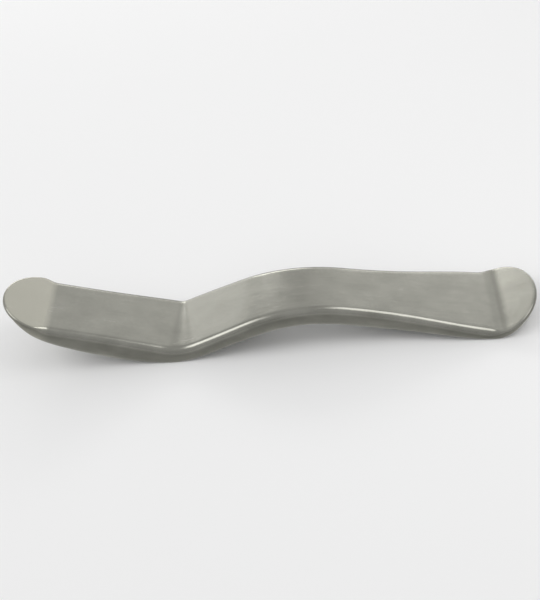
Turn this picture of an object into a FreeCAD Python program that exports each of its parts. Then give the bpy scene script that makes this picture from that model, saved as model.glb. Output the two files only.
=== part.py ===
import FreeCAD, Part
import math
import os

# Handheld surgical retractor: one strip of stainless sheet, both long edges folded down
# and the strip bent into a stretched S. X runs along the tool, Y across it, Z up.
# Lengths in millimetres, angles in degrees. Heights are above the table the tool lies on.

# sheet
sheet = 1.5
tip_thickness = 1.3
fold_radius = 2.0
tip_round = 0.5

# side view of the top surface, outwards from the crease; runs are horizontal
crease_height = 3.75
blade_run = 34.8
blade_height = 15.95
crest_run = 33.0
crest_height = 16.15
handle_run = 56.7
toe_height = 2.15
left_lip_rise = 25.0
right_lip_rise = 24.5

# bend radii of the top surface
crease_radius_near = 17.0
crease_radius_far = 0.9
crest_radius = 50.0
left_bend_radius = 12.0
right_bend_radius = 6.5

# outline seen from above: half widths and the runs where they are reached
left_half = 10.6
blade_half = 10.7
crease_half = 11.2
waist_half = 10.05
shoulder_half = 10.35
right_half = 13.1
blade_waist_run = 17.0
waist_run = 31.0
shoulder_run = 64.0

# rounded ends: reach from the bend along the lip, and length of the rounding
left_tip_reach = 13.9
left_tip_length = 11.0
right_tip_reach = 11.8
right_tip_length = 11.5

# where each fold begins to run out and where it is gone, along the tool from the end bends
left_fold_end = 0.0
left_fold_gone = 4.2
right_fold_end = -3.5
right_fold_gone = 0.8

# depth of the side walls under the top line, and the runs where it is reached
lip_wall = 4.4
bend_wall = 5.8
blade_wall = 7.1
riser_wall = 4.9
crest_wall = 5.2
handle_wall = 5.5
shoulder_wall = 4.3
lip_wall_run = 38.6
bend_wall_run = 33.0
blade_wall_run = 20.0
riser_wall_run = 14.0
crest_wall_run = 34.0
handle_wall_run = 56.0
shoulder_wall_run = 73.0

# the two low places the tool rests on, and where the rims reach the lips' underside
crease_rest_run = -2.0
toe_rest_run = 88.5
left_rim_reach = 11.0
right_rim_reach = 7.0

# working block around the tool
span = 16.0
floor_depth = 8.0
margin = 14.0


def vec(x, y, z):
    return FreeCAD.Vector(x, y, z)


def rad(angle):
    return math.radians(angle)


def toe_run():
    return crest_run + handle_run


def corner_points():
    """Corners of the top line in side view, left to right, as (x, z)."""
    left = left_tip_reach + margin
    right = right_tip_reach + margin
    start = (-blade_run - left * math.cos(rad(left_lip_rise)),
             blade_height + left * math.sin(rad(left_lip_rise)))
    end = (toe_run() + right * math.cos(rad(right_lip_rise)),
           toe_height + right * math.sin(rad(right_lip_rise)))
    return [start, (-blade_run, blade_height), (0.0, crease_height),
            (crest_run, crest_height), (toe_run(), toe_height), end]


def heading(a, b):
    return math.atan2(b[1] - a[1], b[0] - a[0])


def lowered(points, depth):
    """The same corner line moved down by depth, square to each stretch."""
    headings = [heading(points[i], points[i + 1]) for i in range(len(points) - 1)]
    result = []
    for i, (x, z) in enumerate(points):
        before = headings[max(i - 1, 0)]
        after = headings[min(i, len(headings) - 1)]
        middle = (before + after) / 2
        reach = depth / math.cos((after - before) / 2)
        result.append((x + reach * math.sin(middle), z - reach * math.cos(middle)))
    return result


def bend_radii(side, depth):
    """Bend radius at each corner; a hollow bend grows with depth, the crest shrinks."""
    crease = crease_radius_near if side < 0 else crease_radius_far
    return [0.0, left_bend_radius + depth, crease + depth,
            crest_radius - depth, right_bend_radius + depth, 0.0]


def between(a, b, length):
    """Point at a distance from a towards b."""
    size = math.hypot(b[0] - a[0], b[1] - a[1])
    return (a[0] + (b[0] - a[0]) * length / size, a[1] + (b[1] - a[1]) * length / size)


def bend(before, corner, after, radius, y):
    """Start point, end point and arc of one bend."""
    turn = heading(corner, after) - heading(before, corner)
    setback = radius * math.tan(abs(turn) / 2)
    first = between(corner, before, setback)
    last = between(corner, after, setback)
    bulge = radius / math.cos(turn / 2) - radius
    middle = (heading(before, corner) + heading(corner, after)) / 2
    side = 1.0 if turn > 0 else -1.0
    apex = (corner[0] - side * bulge * math.sin(middle), corner[1] + side * bulge * math.cos(middle))
    arc = Part.Arc(vec(first[0], y, first[1]), vec(apex[0], y, apex[1]), vec(last[0], y, last[1]))
    return first, last, arc.toShape()


def top_line(side, depth):
    """Edges of the top line on one side of the tool, with its first and last point."""
    y = side * span
    points = lowered(corner_points(), depth)
    radii = bend_radii(side, depth)
    edges = []
    here = points[0]
    for i in range(1, len(points) - 1):
        first, last, arc = bend(points[i - 1], points[i], points[i + 1], radii[i], y)
        edges.append(Part.makeLine(vec(here[0], y, here[1]), vec(first[0], y, first[1])))
        edges.append(arc)
        here = last
    end = points[-1]
    edges.append(Part.makeLine(vec(here[0], y, here[1]), vec(end[0], y, end[1])))
    return edges, points[0], end


def block_wire(side, depth):
    """Closed side outline of the block under the top line."""
    y = side * span
    edges, start, end = top_line(side, depth)
    low = -floor_depth
    edges.append(Part.makeLine(vec(end[0], y, end[1]), vec(end[0], y, low)))
    edges.append(Part.makeLine(vec(end[0], y, low), vec(start[0], y, low)))
    edges.append(Part.makeLine(vec(start[0], y, low), vec(start[0], y, start[1])))
    return Part.Wire(edges)


def block(depth):
    """Solid under the formed surface, ruled from the near side to the far side."""
    return Part.makeLoft([block_wire(-1, depth), block_wire(1, depth)], True, True)


def end_centres():
    """Where the rounded ends begin, seen from above."""
    left = -blade_run - (left_tip_reach - left_tip_length) * math.cos(rad(left_lip_rise))
    right = toe_run() + (right_tip_reach - right_tip_length) * math.cos(rad(right_lip_rise))
    return left, right


def edge_curve(side, inset):
    """One long edge seen from above."""
    left, right = end_centres()
    stations = [(left, left_half), (-blade_waist_run, blade_half), (0.0, crease_half),
                (waist_run, waist_half), (shoulder_run, shoulder_half), (right, right_half)]
    points = [vec(x, side * (half - inset), 0) for x, half in stations]
    curve = Part.BSplineCurve()
    curve.interpolate(Points=points, InitialTangent=vec(1, 0, 0), FinalTangent=vec(1, 0, 0))
    return curve.toShape()


def end_curve(centre, length, half):
    """Half ellipse closing one end; a negative length closes the left end."""
    middle = vec(centre, 0, 0)
    side = vec(centre, half, 0)
    tip = vec(centre + length, 0, 0)
    if abs(length) < half:
        return Part.Edge(Part.Ellipse(side, tip, middle), 0, math.pi)
    return Part.Edge(Part.Ellipse(tip, side, middle), -math.pi / 2, math.pi / 2)


def outline(inset):
    """Closed plan outline, moved inwards by inset."""
    left, right = end_centres()
    left_length = (left_tip_length - inset) * math.cos(rad(left_lip_rise))
    right_length = (right_tip_length - inset) * math.cos(rad(right_lip_rise))
    edges = [edge_curve(-1, inset), end_curve(right, right_length, right_half - inset),
             edge_curve(1, inset), end_curve(left, -left_length, left_half - inset)]
    return Part.Wire(Part.__sortEdges__(edges))


def prism(inset):
    """Upright prism over the plan outline."""
    face = Part.Face(outline(inset))
    face.translate(vec(0, 0, -floor_depth - 1))
    return face.extrude(vec(0, 0, 100))


def is_upright(face):
    """True for a side face of the prism."""
    low, high, left, right = face.ParameterRange
    return abs(face.normalAt((low + high) / 2, (left + right) / 2).z) < 1e-6


def top_edges(shape):
    """Edges where the formed surface meets the sides."""
    count = {}
    for face in shape.Faces:
        for edge in face.Edges:
            key = edge.hashCode()
            count.setdefault(key, [edge, []])[1].append(is_upright(face))
    return [edge for edge, sides in count.values()
            if len(sides) == 2 and sides.count(True) == 1 and edge.BoundBox.ZMin > 1 - floor_depth]


def channel(edge_radius, hollow_shape, cutter):
    """The bent sheet with one radius along its whole top edge."""
    plain = block(0).common(prism(0)).Solids[0]
    rounded = plain.makeFillet(edge_radius, top_edges(plain))
    return rounded.cut(cutter).cut(hollow_shape).Solids[0]


def retractor():
    """The folded channel, with its folds run out at both ends."""
    inside = hollow()
    cutter = rim_cutter()
    folded = channel(fold_radius, inside, cutter)
    flat = channel(tip_round, inside, cutter)
    left_bend = -blade_run
    right_bend = toe_run()
    left = end_zone(left_bend - left_fold_end, left_bend - left_fold_gone, left_half)
    right = end_zone(right_bend + right_fold_end, right_bend + right_fold_gone, right_half)
    middle = folded.cut([left, right])
    joined = middle.fuse([flat.common(left), flat.common(right)])
    return joined.removeSplitter().Solids[0]


def end_zone(inner, outer, half):
    """Upright block over one end; its flanks open out from the flat top to the full width."""
    sign = 1.0 if outer > inner else -1.0
    far = outer + sign * 60
    flat = half - fold_radius - 0.3
    wide = half + 0.4
    clear = half + 6
    points = [vec(far, -clear, 0), vec(outer, -clear, 0), vec(outer, -wide, 0), vec(inner, -flat, 0),
              vec(inner, flat, 0), vec(outer, wide, 0), vec(outer, clear, 0), vec(far, clear, 0)]
    face = Part.Face(Part.makePolygon(points + [points[0]]))
    face.translate(vec(0, 0, -floor_depth - 2))
    return face.extrude(vec(0, 0, 100))


def hollow():
    """The space inside the channel, bevelled along the folds."""
    core = block(sheet).common(prism(sheet)).Solids[0]
    return core.makeChamfer(fold_radius - sheet, top_edges(core))


def top_height(x):
    """Height of the corner line at x, with the crest rounded as it is made."""
    points = corner_points()
    for a, b in zip(points, points[1:]):
        if a[0] <= x <= b[0]:
            straight = a[1] + (b[1] - a[1]) * (x - a[0]) / (b[0] - a[0])
    rise = heading(points[2], points[3])
    fall = heading(points[3], points[4])
    middle_x = crest_run - crest_radius * (math.tan((rise - fall) / 2) * math.cos(rise) - math.sin(rise))
    middle_z = crest_height - crest_radius * (math.tan((rise - fall) / 2) * math.sin(rise) + math.cos(rise))
    if middle_x - crest_radius * math.sin(rise) < x < middle_x - crest_radius * math.sin(fall):
        return middle_z + math.sqrt(crest_radius ** 2 - (x - middle_x) ** 2)
    return straight


def rim_point(x, wall):
    """Point on the lower rim, a wall's depth under the top line."""
    return (x, top_height(x) - wall)


def smooth(points, first, last):
    """Smooth edge through side view points with given directions at both ends."""
    curve = Part.BSplineCurve()
    curve.interpolate(Points=[vec(x, -span - 1, z) for x, z in points],
                      InitialTangent=vec(first[0], 0, first[1]), FinalTangent=vec(last[0], 0, last[1]))
    return curve.toShape()


def rim_line():
    """Lower rim from lip to lip; it is level where the tool rests."""
    under = lowered(corner_points(), tip_thickness)
    first = between(under[1], under[0], left_rim_reach)
    last = between(under[4], under[5], right_rim_reach)
    left_rise = rad(left_lip_rise)
    right_rise = rad(right_lip_rise)
    crease_rest = (crease_rest_run, 0.0)
    toe_rest = (toe_rest_run, 0.0)
    level = (1.0, 0.0)
    blade = [first, rim_point(-lip_wall_run, lip_wall), rim_point(-bend_wall_run, bend_wall),
             rim_point(-blade_wall_run, blade_wall), crease_rest]
    handle = [crease_rest, rim_point(riser_wall_run, riser_wall), rim_point(crest_wall_run, crest_wall),
              rim_point(handle_wall_run, handle_wall), rim_point(shoulder_wall_run, shoulder_wall), toe_rest]
    return [smooth(blade, (math.cos(left_rise), -math.sin(left_rise)), level), smooth(handle, level, level),
            smooth([toe_rest, last], level, (math.cos(right_rise), math.sin(right_rise)))]


def rim_cutter():
    """Everything below the rims and below the lips' underside."""
    under = lowered(corner_points(), tip_thickness)
    rims = rim_line()
    y = -span - 1
    low = -floor_depth - 3
    start = vec(under[0][0], y, under[0][1])
    end = vec(under[5][0], y, under[5][1])
    deep_start = vec(start.x, y, low)
    deep_end = vec(end.x, y, low)
    edges = [Part.makeLine(start, rims[0].valueAt(rims[0].FirstParameter))] + rims
    edges.append(Part.makeLine(rims[2].valueAt(rims[2].LastParameter), end))
    edges.append(Part.makeLine(end, deep_end))
    edges.append(Part.makeLine(deep_end, deep_start))
    edges.append(Part.makeLine(deep_start, start))
    return Part.Face(Part.Wire(edges)).extrude(vec(0, 2 * span + 2, 0))


def placed(shape):
    """The part over the origin: centred along and across, standing on zero."""
    points = shape.tessellate(0.01)[0]
    middle_x = (min(p.x for p in points) + max(p.x for p in points)) / 2
    middle_y = (min(p.y for p in points) + max(p.y for p in points)) / 2
    shape.translate(vec(-middle_x, -middle_y, -min(p.z for p in points)))
    return shape


os.makedirs("parts", exist_ok=True)
placed(retractor()).exportStep("parts/retractor_body.step")
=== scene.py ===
import math

import bmesh
import bpy
from mathutils import Matrix, Vector


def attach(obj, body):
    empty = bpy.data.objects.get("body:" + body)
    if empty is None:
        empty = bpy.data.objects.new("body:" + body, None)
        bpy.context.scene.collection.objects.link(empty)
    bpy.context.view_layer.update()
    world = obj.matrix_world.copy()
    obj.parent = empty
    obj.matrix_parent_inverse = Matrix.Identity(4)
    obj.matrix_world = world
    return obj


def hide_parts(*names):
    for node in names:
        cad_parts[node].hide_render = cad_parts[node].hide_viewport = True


# A handheld retractor of satin steel sheet: a flat tray with turned down edges is made first,
# in millimetres, and then bent along its length into the stretched S the tool has.

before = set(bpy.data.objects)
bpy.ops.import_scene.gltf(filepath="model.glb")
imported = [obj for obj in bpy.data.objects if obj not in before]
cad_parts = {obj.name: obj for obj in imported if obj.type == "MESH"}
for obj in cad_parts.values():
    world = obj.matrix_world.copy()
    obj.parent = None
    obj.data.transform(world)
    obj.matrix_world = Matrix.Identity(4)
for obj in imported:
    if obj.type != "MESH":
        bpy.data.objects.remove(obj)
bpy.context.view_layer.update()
millimetre = 0.001
print("frame loaded")

# what the tool measures, in millimetres and degrees; runs are counted from the crease
tool = {
    "middleRun": 26.52,
    "thickness": 1.5,
    "tipThickness": 1.3,
    "creaseHeight": 3.75,
    "bladeRun": 34.8,
    "bladeHeight": 15.95,
    "crestRun": 33.0,
    "crestHeight": 16.15,
    "handleRun": 56.7,
    "toeHeight": 2.15,
    "leftRise": 25.0,
    "rightRise": 24.5,
    "creaseRadiusNear": 17.0,
    "creaseRadiusFar": 0.9,
    "crestRadius": 50.0,
    "leftBendRadius": 12.0,
    "rightBendRadius": 6.5,
    "rulingHalf": 16.0,
    "leftReach": 13.9,
    "leftRound": 11.0,
    "rightReach": 11.8,
    "rightRound": 11.5,
    "leftHalf": 10.6,
    "bladeHalf": 10.7,
    "creaseHalf": 11.2,
    "waistHalf": 10.05,
    "shoulderHalf": 10.35,
    "rightHalf": 13.1,
    "bladeWaistRun": 17.0,
    "waistRun": 31.0,
    "shoulderRun": 64.0,
    # the turned down edges: fold radius, where it runs out, and how deep the walls are
    "foldRadius": 2.0,
    "tipRadius": 0.5,
    "innerRadius": 0.5,
    "rimRadius": 0.38,
    "leftFadeFrom": 0.0,
    "leftFadeTo": 4.2,
    "rightFadeFrom": -3.5,
    "rightFadeTo": 0.8,
    "bladeWalls": [(-38.6, 4.4), (-33.0, 5.8), (-20.0, 7.1)],
    "handleWalls": [(14.0, 4.9), (34.0, 5.2), (56.0, 5.5), (73.0, 4.3)],
    "creaseRest": -2.0,
    "toeRest": 88.5,
    "leftRimReach": 11.0,
    "rightRimReach": 7.0,
    "thinRun": 6.0,  # past the end bends, where the sheet starts to get thinner
    "innerFlare": 0.02,  # by which the walls are thicker at the fold
    # how finely it is divided: row spacing, degrees a row may bend, and counts of rows
    "rowSpacing": 1.1,
    "rowTurn": 2.6,
    "acrossCount": 30,
    "tipCount": 14,
    "foldCount": 9,
    "wallCount": 7,
    "rimCount": 4,
    "innerCount": 5,
    "weldGap": 0.03,
    # steps for slopes, first guesses and rounds for the places that are found by repeating
    "slopeStep": 0.2,
    "slopeRounds": 80,
    "halfGuess": 11.0,
    "halfRounds": 4,
    "depthGuess": 5.0,
    "depthRounds": 25,
    # how much the folds and rims are lightened by wear and a painted highlight, and how much painted shade the
    # folds and walls get, from 0 to 1
    "foldWearAndSheen": 0.3,
    "lowWallWearAndSheen": 0.5,
    "rimWearAndSheen": 1.0,
    "foldShadePower": 1.7,
    "rimShade": 0.6,
    "girthHalf": 9.0,
}


# smooth cubic through points with given slopes at both ends
def smoothCurve(points, firstSlope, lastSlope):
    n = len(points)
    gap = [points[i + 1][0] - points[i][0] for i in range(n - 1)]
    rise = [(points[i + 1][1] - points[i][1]) / gap[i] for i in range(n - 1)]
    slope = [firstSlope] + rise[1:] + [lastSlope]
    for _ in range(tool["slopeRounds"]):
        for i in range(1, n - 1):
            pull = 3 * (rise[i - 1] * gap[i] + rise[i] * gap[i - 1])
            slope[i] = (pull - gap[i] * slope[i - 1] - gap[i - 1] * slope[i + 1]) / (2 * (gap[i] + gap[i - 1]))

    def at(x):
        i = 0
        while i < n - 2 and x > points[i + 1][0]:
            i += 1
        t = (x - points[i][0]) / gap[i]
        a, b = points[i][1], points[i + 1][1]
        return (a * (1 + 2 * t) * (1 - t) ** 2 + b * t * t * (3 - 2 * t)
                + gap[i] * (slope[i] * t * (1 - t) ** 2 - slope[i + 1] * t * t * (1 - t)))

    return at


def easeStep(a, b, x):
    t = min(max((x - a) / (b - a), 0.0), 1.0)
    return t * t * (3 - 2 * t)


# the six corners of the top line in side view, from the left tip to the right one
def sideCorners():
    left = math.radians(tool["leftRise"])
    right = math.radians(tool["rightRise"])
    toe = tool["crestRun"] + tool["handleRun"]
    return [(-tool["bladeRun"] - tool["leftReach"] * math.cos(left),
             tool["bladeHeight"] + tool["leftReach"] * math.sin(left)),
            (-tool["bladeRun"], tool["bladeHeight"]),
            (0.0, tool["creaseHeight"]),
            (tool["crestRun"], tool["crestHeight"]),
            (toe, tool["toeHeight"]),
            (toe + tool["rightReach"] * math.cos(right), tool["toeHeight"] + tool["rightReach"] * math.sin(right))]


# one side's top line as straight runs and bends: (start, heading, turn, length)
def sideRuns(creaseRadius):
    corners = sideCorners()
    radii = [0, tool["leftBendRadius"], creaseRadius, tool["crestRadius"], tool["rightBendRadius"], 0]
    headings = [math.atan2(b[1] - a[1], b[0] - a[0]) for a, b in zip(corners, corners[1:])]
    runs = []
    here = corners[0]
    for i in range(1, 5):
        turn = headings[i] - headings[i - 1]
        setback = radii[i] * math.tan(abs(turn) / 2)
        corner = corners[i]
        first = (corner[0] - setback * math.cos(headings[i - 1]), corner[1] - setback * math.sin(headings[i - 1]))
        runs.append((here, headings[i - 1], 0.0, math.dist(here, first)))
        runs.append((first, headings[i - 1], turn, radii[i] * abs(turn)))
        here = (corner[0] + setback * math.cos(headings[i]), corner[1] + setback * math.sin(headings[i]))
    runs.append((here, headings[4], 0.0, math.dist(here, corners[5])))
    return runs


nearRuns = sideRuns(tool["creaseRadiusNear"])
farRuns = sideRuns(tool["creaseRadiusFar"])
runLengths = [(a[3] + b[3]) / 2 for a, b in zip(nearRuns, farRuns)]
runStarts = [sum(runLengths[:i]) for i in range(len(runLengths) + 1)]
toolLength = runStarts[-1]


# place and direction at a share of one run
def onRun(run, share):
    (x, z), heading, turn, length = run
    if turn == 0.0:
        return (Vector((x + length * share * math.cos(heading), 0, z + length * share * math.sin(heading))),
                Vector((length * math.cos(heading), 0, length * math.sin(heading))))
    radius = length / turn
    now = heading + turn * share
    place = Vector((x + radius * (math.sin(now) - math.sin(heading)), 0,
                    z - radius * (math.cos(now) - math.cos(heading))))
    return place, Vector((length * math.cos(now), 0, length * math.sin(now)))


# bends the flat tray: along is measured on the sheet, up is square to it
def bent(along, across, up):
    i = 0
    while i < len(runLengths) - 1 and along > runStarts[i + 1]:
        i += 1
    share = (along - runStarts[i]) / runLengths[i]
    near, nearWay = onRun(nearRuns[i], share)
    far, farWay = onRun(farRuns[i], share)
    span = tool["rulingHalf"]
    mix = (across + span) / (2 * span)
    ruling = far - near
    ruling.y = 2 * span
    top = near.lerp(far, mix)
    top.y = across
    square = nearWay.lerp(farWay, mix).cross(ruling).normalized()
    return top + square * up, square


# half width of the plan outline over the run from the crease
def planHalf():
    left = math.cos(math.radians(tool["leftRise"])) * (tool["leftReach"] - tool["leftRound"])
    right = math.cos(math.radians(tool["rightRise"])) * (tool["rightReach"] - tool["rightRound"])
    toe = tool["crestRun"] + tool["handleRun"]
    return smoothCurve([(-tool["bladeRun"] - left, tool["leftHalf"]), (-tool["bladeWaistRun"], tool["bladeHalf"]),
                        (0.0, tool["creaseHalf"]), (tool["waistRun"], tool["waistHalf"]),
                        (tool["shoulderRun"], tool["shoulderHalf"]), (toe + right, tool["rightHalf"])], 0.0, 0.0)


halfOver = planHalf()


# half width at a place along the sheet, on the near side (-1) or the far side (1)
def halfAt(along, side):
    half = tool["halfGuess"]
    for _ in range(tool["halfRounds"]):  # the bend moves the place a little, so it is found again
        half = halfOver(bent(along, side * half, 0)[0].x)
    return half


# height of the top line over a run, used to hang the rim under it
def topHeight(run):
    corners = sideCorners()
    for a, b in zip(corners, corners[1:]):
        if a[0] <= run <= b[0]:
            straight = a[1] + (b[1] - a[1]) * (run - a[0]) / (b[0] - a[0])
    rise = math.atan2(corners[3][1] - corners[2][1], corners[3][0] - corners[2][0])
    fall = math.atan2(corners[4][1] - corners[3][1], corners[4][0] - corners[3][0])
    radius = tool["crestRadius"]
    lift = math.tan((rise - fall) / 2)
    middleX = corners[3][0] - radius * (lift * math.cos(rise) - math.sin(rise))
    middleZ = corners[3][1] - radius * (lift * math.sin(rise) + math.cos(rise))
    if middleX - radius * math.sin(rise) < run < middleX - radius * math.sin(fall):
        return middleZ + math.sqrt(radius ** 2 - (run - middleX) ** 2)
    return straight


# the lower rim in side view: three smooth stretches, level where the tool rests
def rimCurves():
    corners = sideCorners()
    left = math.radians(tool["leftRise"])
    right = math.radians(tool["rightRise"])
    leftTurn = math.atan2(corners[2][1] - corners[1][1], corners[2][0] - corners[1][0]) + left
    rightTurn = right - math.atan2(corners[4][1] - corners[3][1], corners[4][0] - corners[3][0])
    thin = tool["tipThickness"]
    leftReach = tool["leftRimReach"] + thin * math.tan(leftTurn / 2)
    rightReach = tool["rightRimReach"] + thin * math.tan(rightTurn / 2)
    first = (corners[1][0] - leftReach * math.cos(left) - thin * math.sin(left),
             corners[1][1] + leftReach * math.sin(left) - thin * math.cos(left))
    last = (corners[4][0] + rightReach * math.cos(right) + thin * math.sin(right),
            corners[4][1] + rightReach * math.sin(right) - thin * math.cos(right))
    rest, toe = (tool["creaseRest"], 0.0), (tool["toeRest"], 0.0)
    blade = [first] + [(run, topHeight(run) - wall) for run, wall in tool["bladeWalls"]] + [rest]
    handle = [rest] + [(run, topHeight(run) - wall) for run, wall in tool["handleWalls"]] + [toe]
    return [(first[0], rest[0], smoothCurve(blade, -math.tan(left), 0.0)),
            (rest[0], toe[0], smoothCurve(handle, 0.0, 0.0)),
            (toe[0], last[0], smoothCurve([toe, last], 0.0, math.tan(right)))]


rims = rimCurves()


# depth of the wall under the sheet's top, square to it
def wallDepth(along, across):
    top, square = bent(along, across, 0)
    depth = tool["depthGuess"]
    for _ in range(tool["depthRounds"]):
        run = top.x - square.x * depth
        rim = [curve(run) for start, end, curve in rims if start <= run <= end]
        if not rim:
            return tool["tipThickness"]
        depth = (top.z - rim[0]) / square.z
    return max(depth, tool["tipThickness"])


print("sizes ready, sheet is", round(toolLength, 1), "mm long")


# the fold's radius along the sheet, small round the tips
def foldRadius(along):
    leftBend = tool["leftReach"]
    rightBend = toolLength - tool["rightReach"]
    left = easeStep(leftBend - tool["leftFadeTo"], leftBend - tool["leftFadeFrom"], along)
    right = 1 - easeStep(rightBend + tool["rightFadeFrom"], rightBend + tool["rightFadeTo"], along)
    return tool["tipRadius"] + (tool["foldRadius"] - tool["tipRadius"]) * min(left, right)


# thickness falls a little towards both tips
def sheetThickness(along):
    left = easeStep(0, tool["leftReach"] + tool["thinRun"], along)
    right = easeStep(0, tool["rightReach"] + tool["thinRun"], toolLength - along)
    return tool["tipThickness"] + (tool["thickness"] - tool["tipThickness"]) * min(left, right)


# point of a round end on the flat sheet, moved inwards; turn is 90 degrees where the rounding starts
def tipPoint(end, turn, inset):
    length = tool["leftRound"] if end < 0 else tool["rightRound"]
    half = tool["leftHalf"] if end < 0 else tool["rightHalf"]
    middle = length if end < 0 else toolLength - length
    angle = math.radians(turn)
    outward = Vector((math.cos(angle) / length, math.sin(angle) / half)).normalized()
    return Vector((middle + end * (length * math.cos(angle) - outward.x * inset),
                   half * math.sin(angle) - outward.y * inset))


# point of a long side on the flat sheet, moved inwards
def sidePoint(along, side, inset):
    step = tool["slopeStep"]
    slope = (halfAt(along + step, side) - halfAt(along - step, side)) / (2 * step)
    outward = Vector((-slope, 1.0)).normalized()
    half = halfAt(along, side)
    return Vector((along - outward.x * inset, side * (half - outward.y * inset)))


# rows of the sheet between the two tips: finer round the bends
def bodyRows():
    rows = [tool["leftRound"]]
    for i, length in enumerate(runLengths):
        a, b = max(runStarts[i], rows[0]), min(runStarts[i + 1], toolLength - tool["rightRound"])
        if b <= a:
            continue
        turn = abs(math.degrees(nearRuns[i][2]))
        count = max(1, math.ceil((b - a) / tool["rowSpacing"]), math.ceil(turn / tool["rowTurn"]))
        rows += [a + (b - a) * k / count for k in range(1, count + 1)]
    return rows


rows = bodyRows()
tipCount = tool["tipCount"]
acrossCount = tool["acrossCount"]
rowCount = len(rows) + 2 * tipCount
tipCorner = 45.0  # a round end is filled between four edges that meet at this turn


# the end that a row of a round tip belongs to, and its way from the long sides (0) to the end edge (1)
def tipRow(row):
    if row < tipCount:
        return -1, 1 - row / tipCount
    return 1, (row - tipCount - len(rows) + 1) / tipCount


# where a boundary point of the sheet sits: row and column give it, inset moves it inwards
def boundaryPoint(row, column, inset):
    side = -1 if column == 0 else 1
    if tipCount <= row < tipCount + len(rows):
        return sidePoint(rows[row - tipCount], side, inset)
    end, share = tipRow(row)
    if 0 < column < acrossCount:
        return tipPoint(end, tipCorner * (2 * column / acrossCount - 1), inset)
    point = tipPoint(end, 90 - tipCorner * share, inset)
    return Vector((point.x, side * point.y))


# a point anywhere on the sheet; the tips are filled between their four edges
def sheetPoint(row, column, inset):
    across = column / acrossCount
    if column in (0, acrossCount) or row in (0, rowCount - 1):
        return boundaryPoint(row, column, inset)
    near = boundaryPoint(row, 0, inset)
    far = boundaryPoint(row, acrossCount, inset)
    if tipCount <= row < tipCount + len(rows):
        return near.lerp(far, across)
    end, share = tipRow(row)
    last = 0 if end < 0 else rowCount - 1
    start = tipCount if end < 0 else tipCount + len(rows) - 1
    straight = boundaryPoint(start, 0, inset).lerp(boundaryPoint(start, acrossCount, inset), across)
    curved = boundaryPoint(last, column, inset)
    endRow = boundaryPoint(last, 0, inset).lerp(boundaryPoint(last, acrossCount, inset), across)
    return straight.lerp(curved, share) + near.lerp(far, across) - straight.lerp(endRow, share)


# one flat face of the tray, as a grid whose edge is set in from the outline
def makeFace(bm, insetAt, depthAt):
    made = bmesh.ops.create_grid(bm, x_segments=rowCount - 1, y_segments=acrossCount, size=1.0)
    placed = {}
    for vert in made["verts"]:
        row = round((vert.co.x + 1) / 2 * (rowCount - 1))
        column = round((vert.co.y + 1) / 2 * acrossCount)
        placed[vert] = (row, column)
        nearest = 0 if 2 * column < acrossCount else acrossCount
        rough = boundaryPoint(row, column if row in (0, rowCount - 1) else nearest, 0.0)
        point = sheetPoint(row, column, insetAt(rough.x))
        vert.co = (point.x, point.y, -depthAt(point.x))
    return placed


def shares(count):
    return [k / count for k in range(1, count + 1)]


# inset and depth of every ring from the top face round the rim to the underside,
# with how much it is lightened by wear and a painted highlight, and how much painted shade it gets as part of the
# wall
def ringProfile(along, across):
    radius = foldRadius(along)
    depth = wallDepth(along, across)
    thick = sheetThickness(along)
    inner, rim, flare = tool["innerRadius"], tool["rimRadius"], tool["innerFlare"]
    room = max(depth - thick, 0.0)
    innerRise, rimRise = min(inner, room / 2), min(rim, room / 2)
    rimMarks = (tool["rimWearAndSheen"], tool["rimShade"])
    profile = []
    # round the fold the wear mark peaks at its middle as a painted highlight, and painted shade grows as the fold
    # turns down
    for share in shares(tool["foldCount"]):
        turn = math.pi / 2 * share
        profile.append((radius * (1 - math.sin(turn)), radius * (1 - math.cos(turn)),
                        tool["foldWearAndSheen"] * math.sin(2 * turn), math.sin(turn) ** tool["foldShadePower"]))
    for share in shares(tool["wallCount"]):
        profile.append((0.0, radius + (depth - rim - radius) * share,
                        tool["lowWallWearAndSheen"] * (share == 1), 1 - (1 - tool["rimShade"]) * share))
    for share in shares(tool["rimCount"]):
        turn = math.pi / 2 * share
        profile.append((rim * (1 - math.cos(turn)), depth - rim + rim * math.sin(turn), *rimMarks))
    for share in [0.0] + shares(tool["rimCount"]):
        turn = math.pi / 2 * share
        profile.append((thick - rim + rim * math.sin(turn), depth - rimRise * (1 - math.cos(turn)), *rimMarks))
    for share in shares(tool["wallCount"]):
        profile.append((thick + flare * share, depth - rimRise + (thick + innerRise - depth + rimRise) * share,
                        0.0, 1.0))
    for share in shares(tool["innerCount"]):
        turn = math.pi / 2 * share
        profile.append((thick + flare + (inner - flare) * (1 - math.cos(turn)),
                        thick + innerRise * (1 - math.sin(turn)), 0.0, 1 - share))
    return profile


# pulls the edge of the top face round the fold, down the wall, round the rim and back up inside
def pullEdges(bm, placed, wearAndSheen, side):
    ring = {v: place for v, place in placed.items() if v.is_boundary}
    outline = {place: boundaryPoint(place[0], place[1], 0.0) for place in ring.values()}
    profiles = {place: ringProfile(point.x, point.y) for place, point in outline.items()}
    for k in range(len(next(iter(profiles.values())))):
        edges = [e for e in bm.edges if e.is_boundary and e.verts[0] in ring and e.verts[1] in ring]
        made = bmesh.ops.extrude_edge_only(bm, edges=edges)["geom"]
        fresh = {}
        for vert in [g for g in made if isinstance(g, bmesh.types.BMVert)]:
            before = next(e.other_vert(vert) for e in vert.link_edges if e.other_vert(vert) in ring)
            place = ring[before]
            inset, depth, vert[wearAndSheen], vert[side] = profiles[place][k]
            point = boundaryPoint(place[0], place[1], inset)
            vert.co = (point.x, point.y, -depth)
            fresh[vert] = place
        ring = fresh


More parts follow.
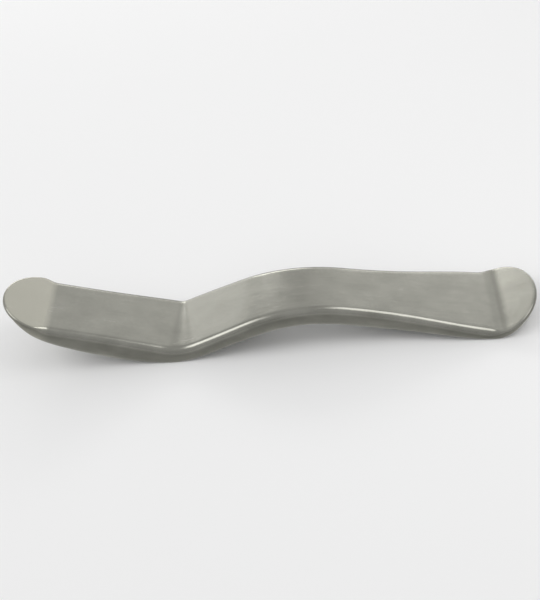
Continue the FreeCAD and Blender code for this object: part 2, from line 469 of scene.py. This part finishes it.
def makeRetractor():
    bm = bmesh.new()
    sheetPlace = bm.verts.layers.float_vector.new("sheetPlace")
    # per point: wear with a painted highlight, and painted shade on the walls and folds
    wearAndSheen = bm.verts.layers.float.new("wearAndSheen")
    side = bm.verts.layers.float.new("side")
    placed = makeFace(bm, foldRadius, lambda along: 0.0)
    pullEdges(bm, placed, wearAndSheen, side)
    makeFace(bm, lambda along: sheetThickness(along) + tool["innerRadius"], sheetThickness)
    bmesh.ops.remove_doubles(bm, verts=bm.verts, dist=tool["weldGap"])
    print("tray made,", len(bm.faces), "faces, open edges:", sum(e.is_boundary for e in bm.edges))
    for vert in bm.verts:
        girth = vert.co.y - vert.co.z * min(max(vert.co.y / tool["girthHalf"], -1), 1)
        vert[sheetPlace] = (vert.co.x, girth, vert.co.z)  # the finish is laid out on the flat sheet
        place, square = bent(vert.co.x, vert.co.y, vert.co.z)
        vert.co = (place - Vector((tool["middleRun"], 0, 0))) * millimetre
    lowest = min(vert.co.z for vert in bm.verts)
    bmesh.ops.translate(bm, verts=bm.verts, vec=(0, 0, -lowest))  # the rounded rims rest on the table
    bmesh.ops.recalc_face_normals(bm, faces=bm.faces)
    for face in bm.faces:
        face.smooth = True
    mesh = bpy.data.meshes.new("retractor")
    bm.to_mesh(mesh)
    bm.free()
    piece = bpy.data.objects.new("retractor", mesh)
    bpy.context.collection.objects.link(piece)
    return piece


retractor = makeRetractor()
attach(retractor, "root")
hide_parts("retractor_body")
print("retractor bent and placed")


def newMaterial(name):
    material = bpy.data.materials.new(name)
    material.use_nodes = True
    nodes = material.node_tree.nodes
    return material, nodes, material.node_tree.links, nodes["Principled BSDF"]


# satin steel: the marks' length, width and depth in millimetres on the flat sheet; for each effect
# the span of the noise that counts and the shares it gives at both ends of that span
steelLook = {
    "dull": (0.305, 0.303, 0.268, 1),
    "bright": (0.365, 0.362, 0.322, 1),
    # the side colour is painted shade: it darkens the walls and the folds as they turn down
    "side": (0.138, 0.138, 0.118, 1),
    # the next colour lightens worn places and is also a painted highlight along the folds and rims; the scratches
    # use it too
    "wearAndSheen": (0.47, 0.465, 0.425, 1),
    # the tips colour is a painted reflection that lightens the upturned tips
    "tips": (0.53, 0.52, 0.447, 1),
    "patch": (9.8, 7.0, 7.0),
    "brushing": (14.0, 0.34, 0.34),
    "grain": (0.8, 0.8, 0.8),
    "scratch": (5.0, 0.22, 3.0),
    "scratchTurn": 14.0,
    "cloudSpan": (0.32, 0.68, -0.1, 0.62),
    "brushSpan": (0.25, 0.75, 0.0, 0.34),
    "grainSpan": (0.25, 0.75, 0.0, 0.30),
    "scratchSpan": (0.66, 0.76, 0.0, 1.0),
    "wallShadeSpan": (0.3, 0.7, 1.0, 0.62),
    "wearAndSheenSpan": (0.35, 0.6, 0.55, 1.0),
    "roughSpan": (0.3, 0.7, 0.22, 0.28),
    "scratchShare": 0.05,
    "leftTipSheenShare": 0.72,
    "rightTipSheenShare": 0.15,
    "tipEdge": 0.5,
    "tipFade": 2.0,
    "wearAndSheenSmoother": 0.06,
    # how strongly each mark stands out, and the depth of the whole in metres
    "brushRelief": 0.6,
    "grainRelief": 0.4,
    "scratchRelief": 0.5,
    "reliefDepth": 0.000008,
}


def readAttribute(material, name, output):
    node = material.node_tree.nodes.new("ShaderNodeAttribute")
    node.attribute_name = name
    return node.outputs[output]


# noise between 0 and 1 whose marks have the given length, width and depth at the place
def marks(material, place, size, detail, turn=0.0):
    nodes, links = material.node_tree.nodes, material.node_tree.links
    mapping = nodes.new("ShaderNodeMapping")
    mapping.inputs["Scale"].default_value = [1 / length for length in size]
    mapping.inputs["Rotation"].default_value = (0, 0, math.radians(turn))
    noise = nodes.new("ShaderNodeTexNoise")
    noise.inputs["Scale"].default_value = 1.0
    noise.inputs["Detail"].default_value = detail
    links.new(place, mapping.inputs["Vector"])
    links.new(mapping.outputs["Vector"], noise.inputs["Vector"])
    return noise.outputs["Fac"]


def feed(material, socket, value):
    if isinstance(value, (int, float, tuple)):
        socket.default_value = value
    else:
        material.node_tree.links.new(value, socket)


def calculate(material, operation, first, second):
    node = material.node_tree.nodes.new("ShaderNodeMath")
    node.operation = operation
    feed(material, node.inputs[0], first)
    feed(material, node.inputs[1], second)
    return node.outputs["Value"]


# turns values from low to high into values from toLow to toHigh; span holds these four
def spread(material, value, span):
    node = material.node_tree.nodes.new("ShaderNodeMapRange")
    for name, number in zip(("From Min", "From Max", "To Min", "To Max"), span):
        node.inputs[name].default_value = number
    material.node_tree.links.new(value, node.inputs["Value"])
    return node.outputs["Result"]


def mixColors(material, share, first, second):
    node = material.node_tree.nodes.new("ShaderNodeMix")
    node.data_type = "RGBA"
    material.node_tree.links.new(share, node.inputs["Factor"])
    feed(material, node.inputs[6], first)
    feed(material, node.inputs[7], second)
    return node.outputs[2]


def steelMaterial():
    material, nodes, links, shader = newMaterial("satinSteel")
    look = steelLook
    place = readAttribute(material, "sheetPlace", "Vector")
    patches = marks(material, place, look["patch"], detail=4.0)
    brushing = marks(material, place, look["brushing"], detail=3.0)
    grain = marks(material, place, look["grain"], detail=2.0)
    scratches = marks(material, place, look["scratch"], detail=1.0, turn=look["scratchTurn"])
    scratches = spread(material, scratches, look["scratchSpan"])

    # cloudy patches first, then the lengthwise brushing and the satin grain on top
    cloud = spread(material, patches, look["cloudSpan"])
    lines = spread(material, brushing, look["brushSpan"])
    specks = spread(material, grain, look["grainSpan"])
    tone = calculate(material, "ADD", calculate(material, "ADD", cloud, lines), specks)
    color = mixColors(material, tone, look["dull"], look["bright"])

    # the upturned tips are painted lighter than the strip between them, a painted reflection of the bright room
    parts = nodes.new("ShaderNodeSeparateXYZ")
    links.new(place, parts.inputs["Vector"])
    along = parts.outputs["X"]
    leftEdge = tool["leftReach"] + look["tipEdge"]
    rightEdge = toolLength - tool["rightReach"] - look["tipEdge"]
    leftTipSheen = spread(material, along, (leftEdge - look["tipFade"], leftEdge, look["leftTipSheenShare"], 0))
    rightTipSheen = spread(material, along, (rightEdge, rightEdge + look["tipFade"], 0, look["rightTipSheenShare"]))
    color = mixColors(material, calculate(material, "ADD", leftTipSheen, rightTipSheen), color, look["tips"])

    # scratches, then painted shade that darkens the walls and folds, then the folds and rims lightened by wear and
    # a painted highlight
    scratchShare = calculate(material, "MULTIPLY", scratches, look["scratchShare"])
    color = mixColors(material, scratchShare, color, look["wearAndSheen"])
    # painted shade darkens the walls and the lower folds towards the side colour
    wallShadeTone = spread(material, patches, look["wallShadeSpan"])
    wallShadeShare = calculate(material, "MULTIPLY", readAttribute(material, "side", "Fac"), wallShadeTone)
    color = mixColors(material, wallShadeShare, color, look["side"])
    # the folds and rims are lightened by wear and a painted highlight
    wearAndSheenTone = spread(material, patches, look["wearAndSheenSpan"])
    wearAndSheen = calculate(material, "MULTIPLY", readAttribute(material, "wearAndSheen", "Fac"), wearAndSheenTone)
    color = mixColors(material, wearAndSheen, color, look["wearAndSheen"])
    links.new(color, shader.inputs["Base Color"])

    # the roughness follows the mean of patches and brushing, and is a little lower on the worn folds and rims
    uneven = calculate(material, "MULTIPLY", calculate(material, "ADD", patches, brushing), 0.5)
    roughness = spread(material, uneven, look["roughSpan"])
    smoother = calculate(material, "MULTIPLY", wearAndSheen, look["wearAndSheenSmoother"])
    links.new(calculate(material, "SUBTRACT", roughness, smoother), shader.inputs["Roughness"])

    # brushing and grain stand out, scratches go in
    raised = calculate(material, "ADD", calculate(material, "MULTIPLY", brushing, look["brushRelief"]),
                       calculate(material, "MULTIPLY", grain, look["grainRelief"]))
    cut = calculate(material, "MULTIPLY", scratches, look["scratchRelief"])
    relief = calculate(material, "SUBTRACT", raised, cut)
    bump = nodes.new("ShaderNodeBump")
    bump.inputs["Strength"].default_value = 1.0
    bump.inputs["Distance"].default_value = look["reliefDepth"]
    links.new(relief, bump.inputs["Height"])
    links.new(bump.outputs["Normal"], shader.inputs["Normal"])
    shader.inputs["Metallic"].default_value = 1.0
    return material


retractor.data.materials.append(steelMaterial())
print("steel ready")

# the table and the room, which is a little lighter in front
stageLook = {
    "floorSize": 6.0,
    "floorColor": (0.9, 0.9, 0.9, 1),
    "floorRoughness": 0.9,
    "room": (0.585, 0.585, 0.585, 1),
    "roomFront": (0.66, 0.66, 0.66, 1),
    "roomFrom": 0.3,
    "roomTo": -1.0,
    "lampTarget": (0, 0, 0.01),
}

# lamps aimed at the tool: around (from the back towards the right) and height in degrees,
# away and size in metres, power in watts
lamps = {
    "lowRight": {"around": 30, "height": 14, "away": 0.6, "size": (0.30, 0.30), "power": 0.27},
    "lowLeft": {"around": -30, "height": 14, "away": 0.6, "size": (0.30, 0.30), "power": 0.25},
    "backBand": {"around": -12, "height": 24, "away": 0.6, "size": (0.25, 0.12), "power": 0.33},
    "backRight": {"around": 12, "height": 26, "away": 0.6, "size": (0.20, 0.12), "power": 0.06},
    "paddleGlow": {"around": -27, "height": 37, "away": 0.6, "size": (0.16, 0.16), "power": 0.01},
    "sideGlow": {"around": 25, "height": 41, "away": 0.6, "size": (0.38, 0.34), "power": 0.10},
    "foldLeft": {"around": -101, "height": 46, "away": 0.6, "size": (0.34, 0.34), "power": 0.75},
    "foldRight": {"around": 100, "height": 56, "away": 0.33, "size": (0.18, 0.18), "power": 0.19},
}


def makeFloor():
    bm = bmesh.new()
    bmesh.ops.create_grid(bm, x_segments=1, y_segments=1, size=stageLook["floorSize"] / 2)
    mesh = bpy.data.meshes.new("floor")
    bm.to_mesh(mesh)
    bm.free()
    floor = bpy.data.objects.new("floor", mesh)
    bpy.context.collection.objects.link(floor)
    material, nodes, links, shader = newMaterial("paleTable")
    shader.inputs["Base Color"].default_value = stageLook["floorColor"]
    shader.inputs["Roughness"].default_value = stageLook["floorRoughness"]
    mesh.materials.append(material)


def makeLamp(name, look):
    light = bpy.data.lights.new(name, "AREA")
    light.shape = "RECTANGLE"
    light.size, light.size_y = look["size"]
    light.energy = look["power"]
    lamp = bpy.data.objects.new(name, light)
    around, height = math.radians(look["around"]), math.radians(look["height"])
    way = Vector((math.sin(around) * math.cos(height), math.cos(around) * math.cos(height), math.sin(height)))
    lamp.location = way * look["away"] + Vector(stageLook["lampTarget"])
    lamp.rotation_euler = way.to_track_quat("Z", "Y").to_euler()
    bpy.context.collection.objects.link(lamp)


# the world's light, which changes from the back (roomFrom) to the front (roomTo) of the room
def makeRoom():
    world = bpy.data.worlds.new("room")
    world.use_nodes = True
    nodes, links = world.node_tree.nodes, world.node_tree.links
    way = nodes.new("ShaderNodeTexCoord")
    parts = nodes.new("ShaderNodeSeparateXYZ")
    share = nodes.new("ShaderNodeMapRange")
    share.interpolation_type = "SMOOTHSTEP"
    share.inputs["From Min"].default_value = stageLook["roomFrom"]
    share.inputs["From Max"].default_value = stageLook["roomTo"]
    mix = nodes.new("ShaderNodeMix")
    mix.data_type = "RGBA"
    mix.inputs[6].default_value = stageLook["room"]
    mix.inputs[7].default_value = stageLook["roomFront"]
    links.new(way.outputs["Generated"], parts.inputs["Vector"])
    links.new(parts.outputs["Y"], share.inputs["Value"])
    links.new(share.outputs["Result"], mix.inputs["Factor"])
    links.new(mix.outputs[2], nodes["Background"].inputs["Color"])
    bpy.context.scene.world = world


makeFloor()
makeRoom()
for name, look in lamps.items():
    makeLamp(name, look)
print("floor and lamps ready")

# the camera looks along the tool's far side from 42 degrees up, turned with the tool's tilt
view = {"place": (0.02578, -0.22759, 0.21817), "elevation": 42.08, "roll": 7.07, "lens": 65.73, "shiftUp": -0.0173}


def makeCamera():
    elevation, roll = math.radians(view["elevation"]), math.radians(view["roll"])
    right = Vector((math.cos(roll), 0, -math.sin(roll)))
    up = Vector((math.sin(roll) * math.cos(elevation), math.sin(elevation), math.cos(roll) * math.cos(elevation)))
    back = right.cross(up)
    camera = bpy.data.objects.new("camera", bpy.data.cameras.new("camera"))
    camera.data.lens = view["lens"]
    camera.data.shift_y = view["shiftUp"]
    bpy.context.collection.objects.link(camera)
    camera.matrix_world = Matrix.Translation(view["place"]) @ Matrix((right, up, back)).transposed().to_4x4()
    bpy.context.scene.camera = camera


makeCamera()
bpy.context.scene.view_settings.view_transform = "Standard"
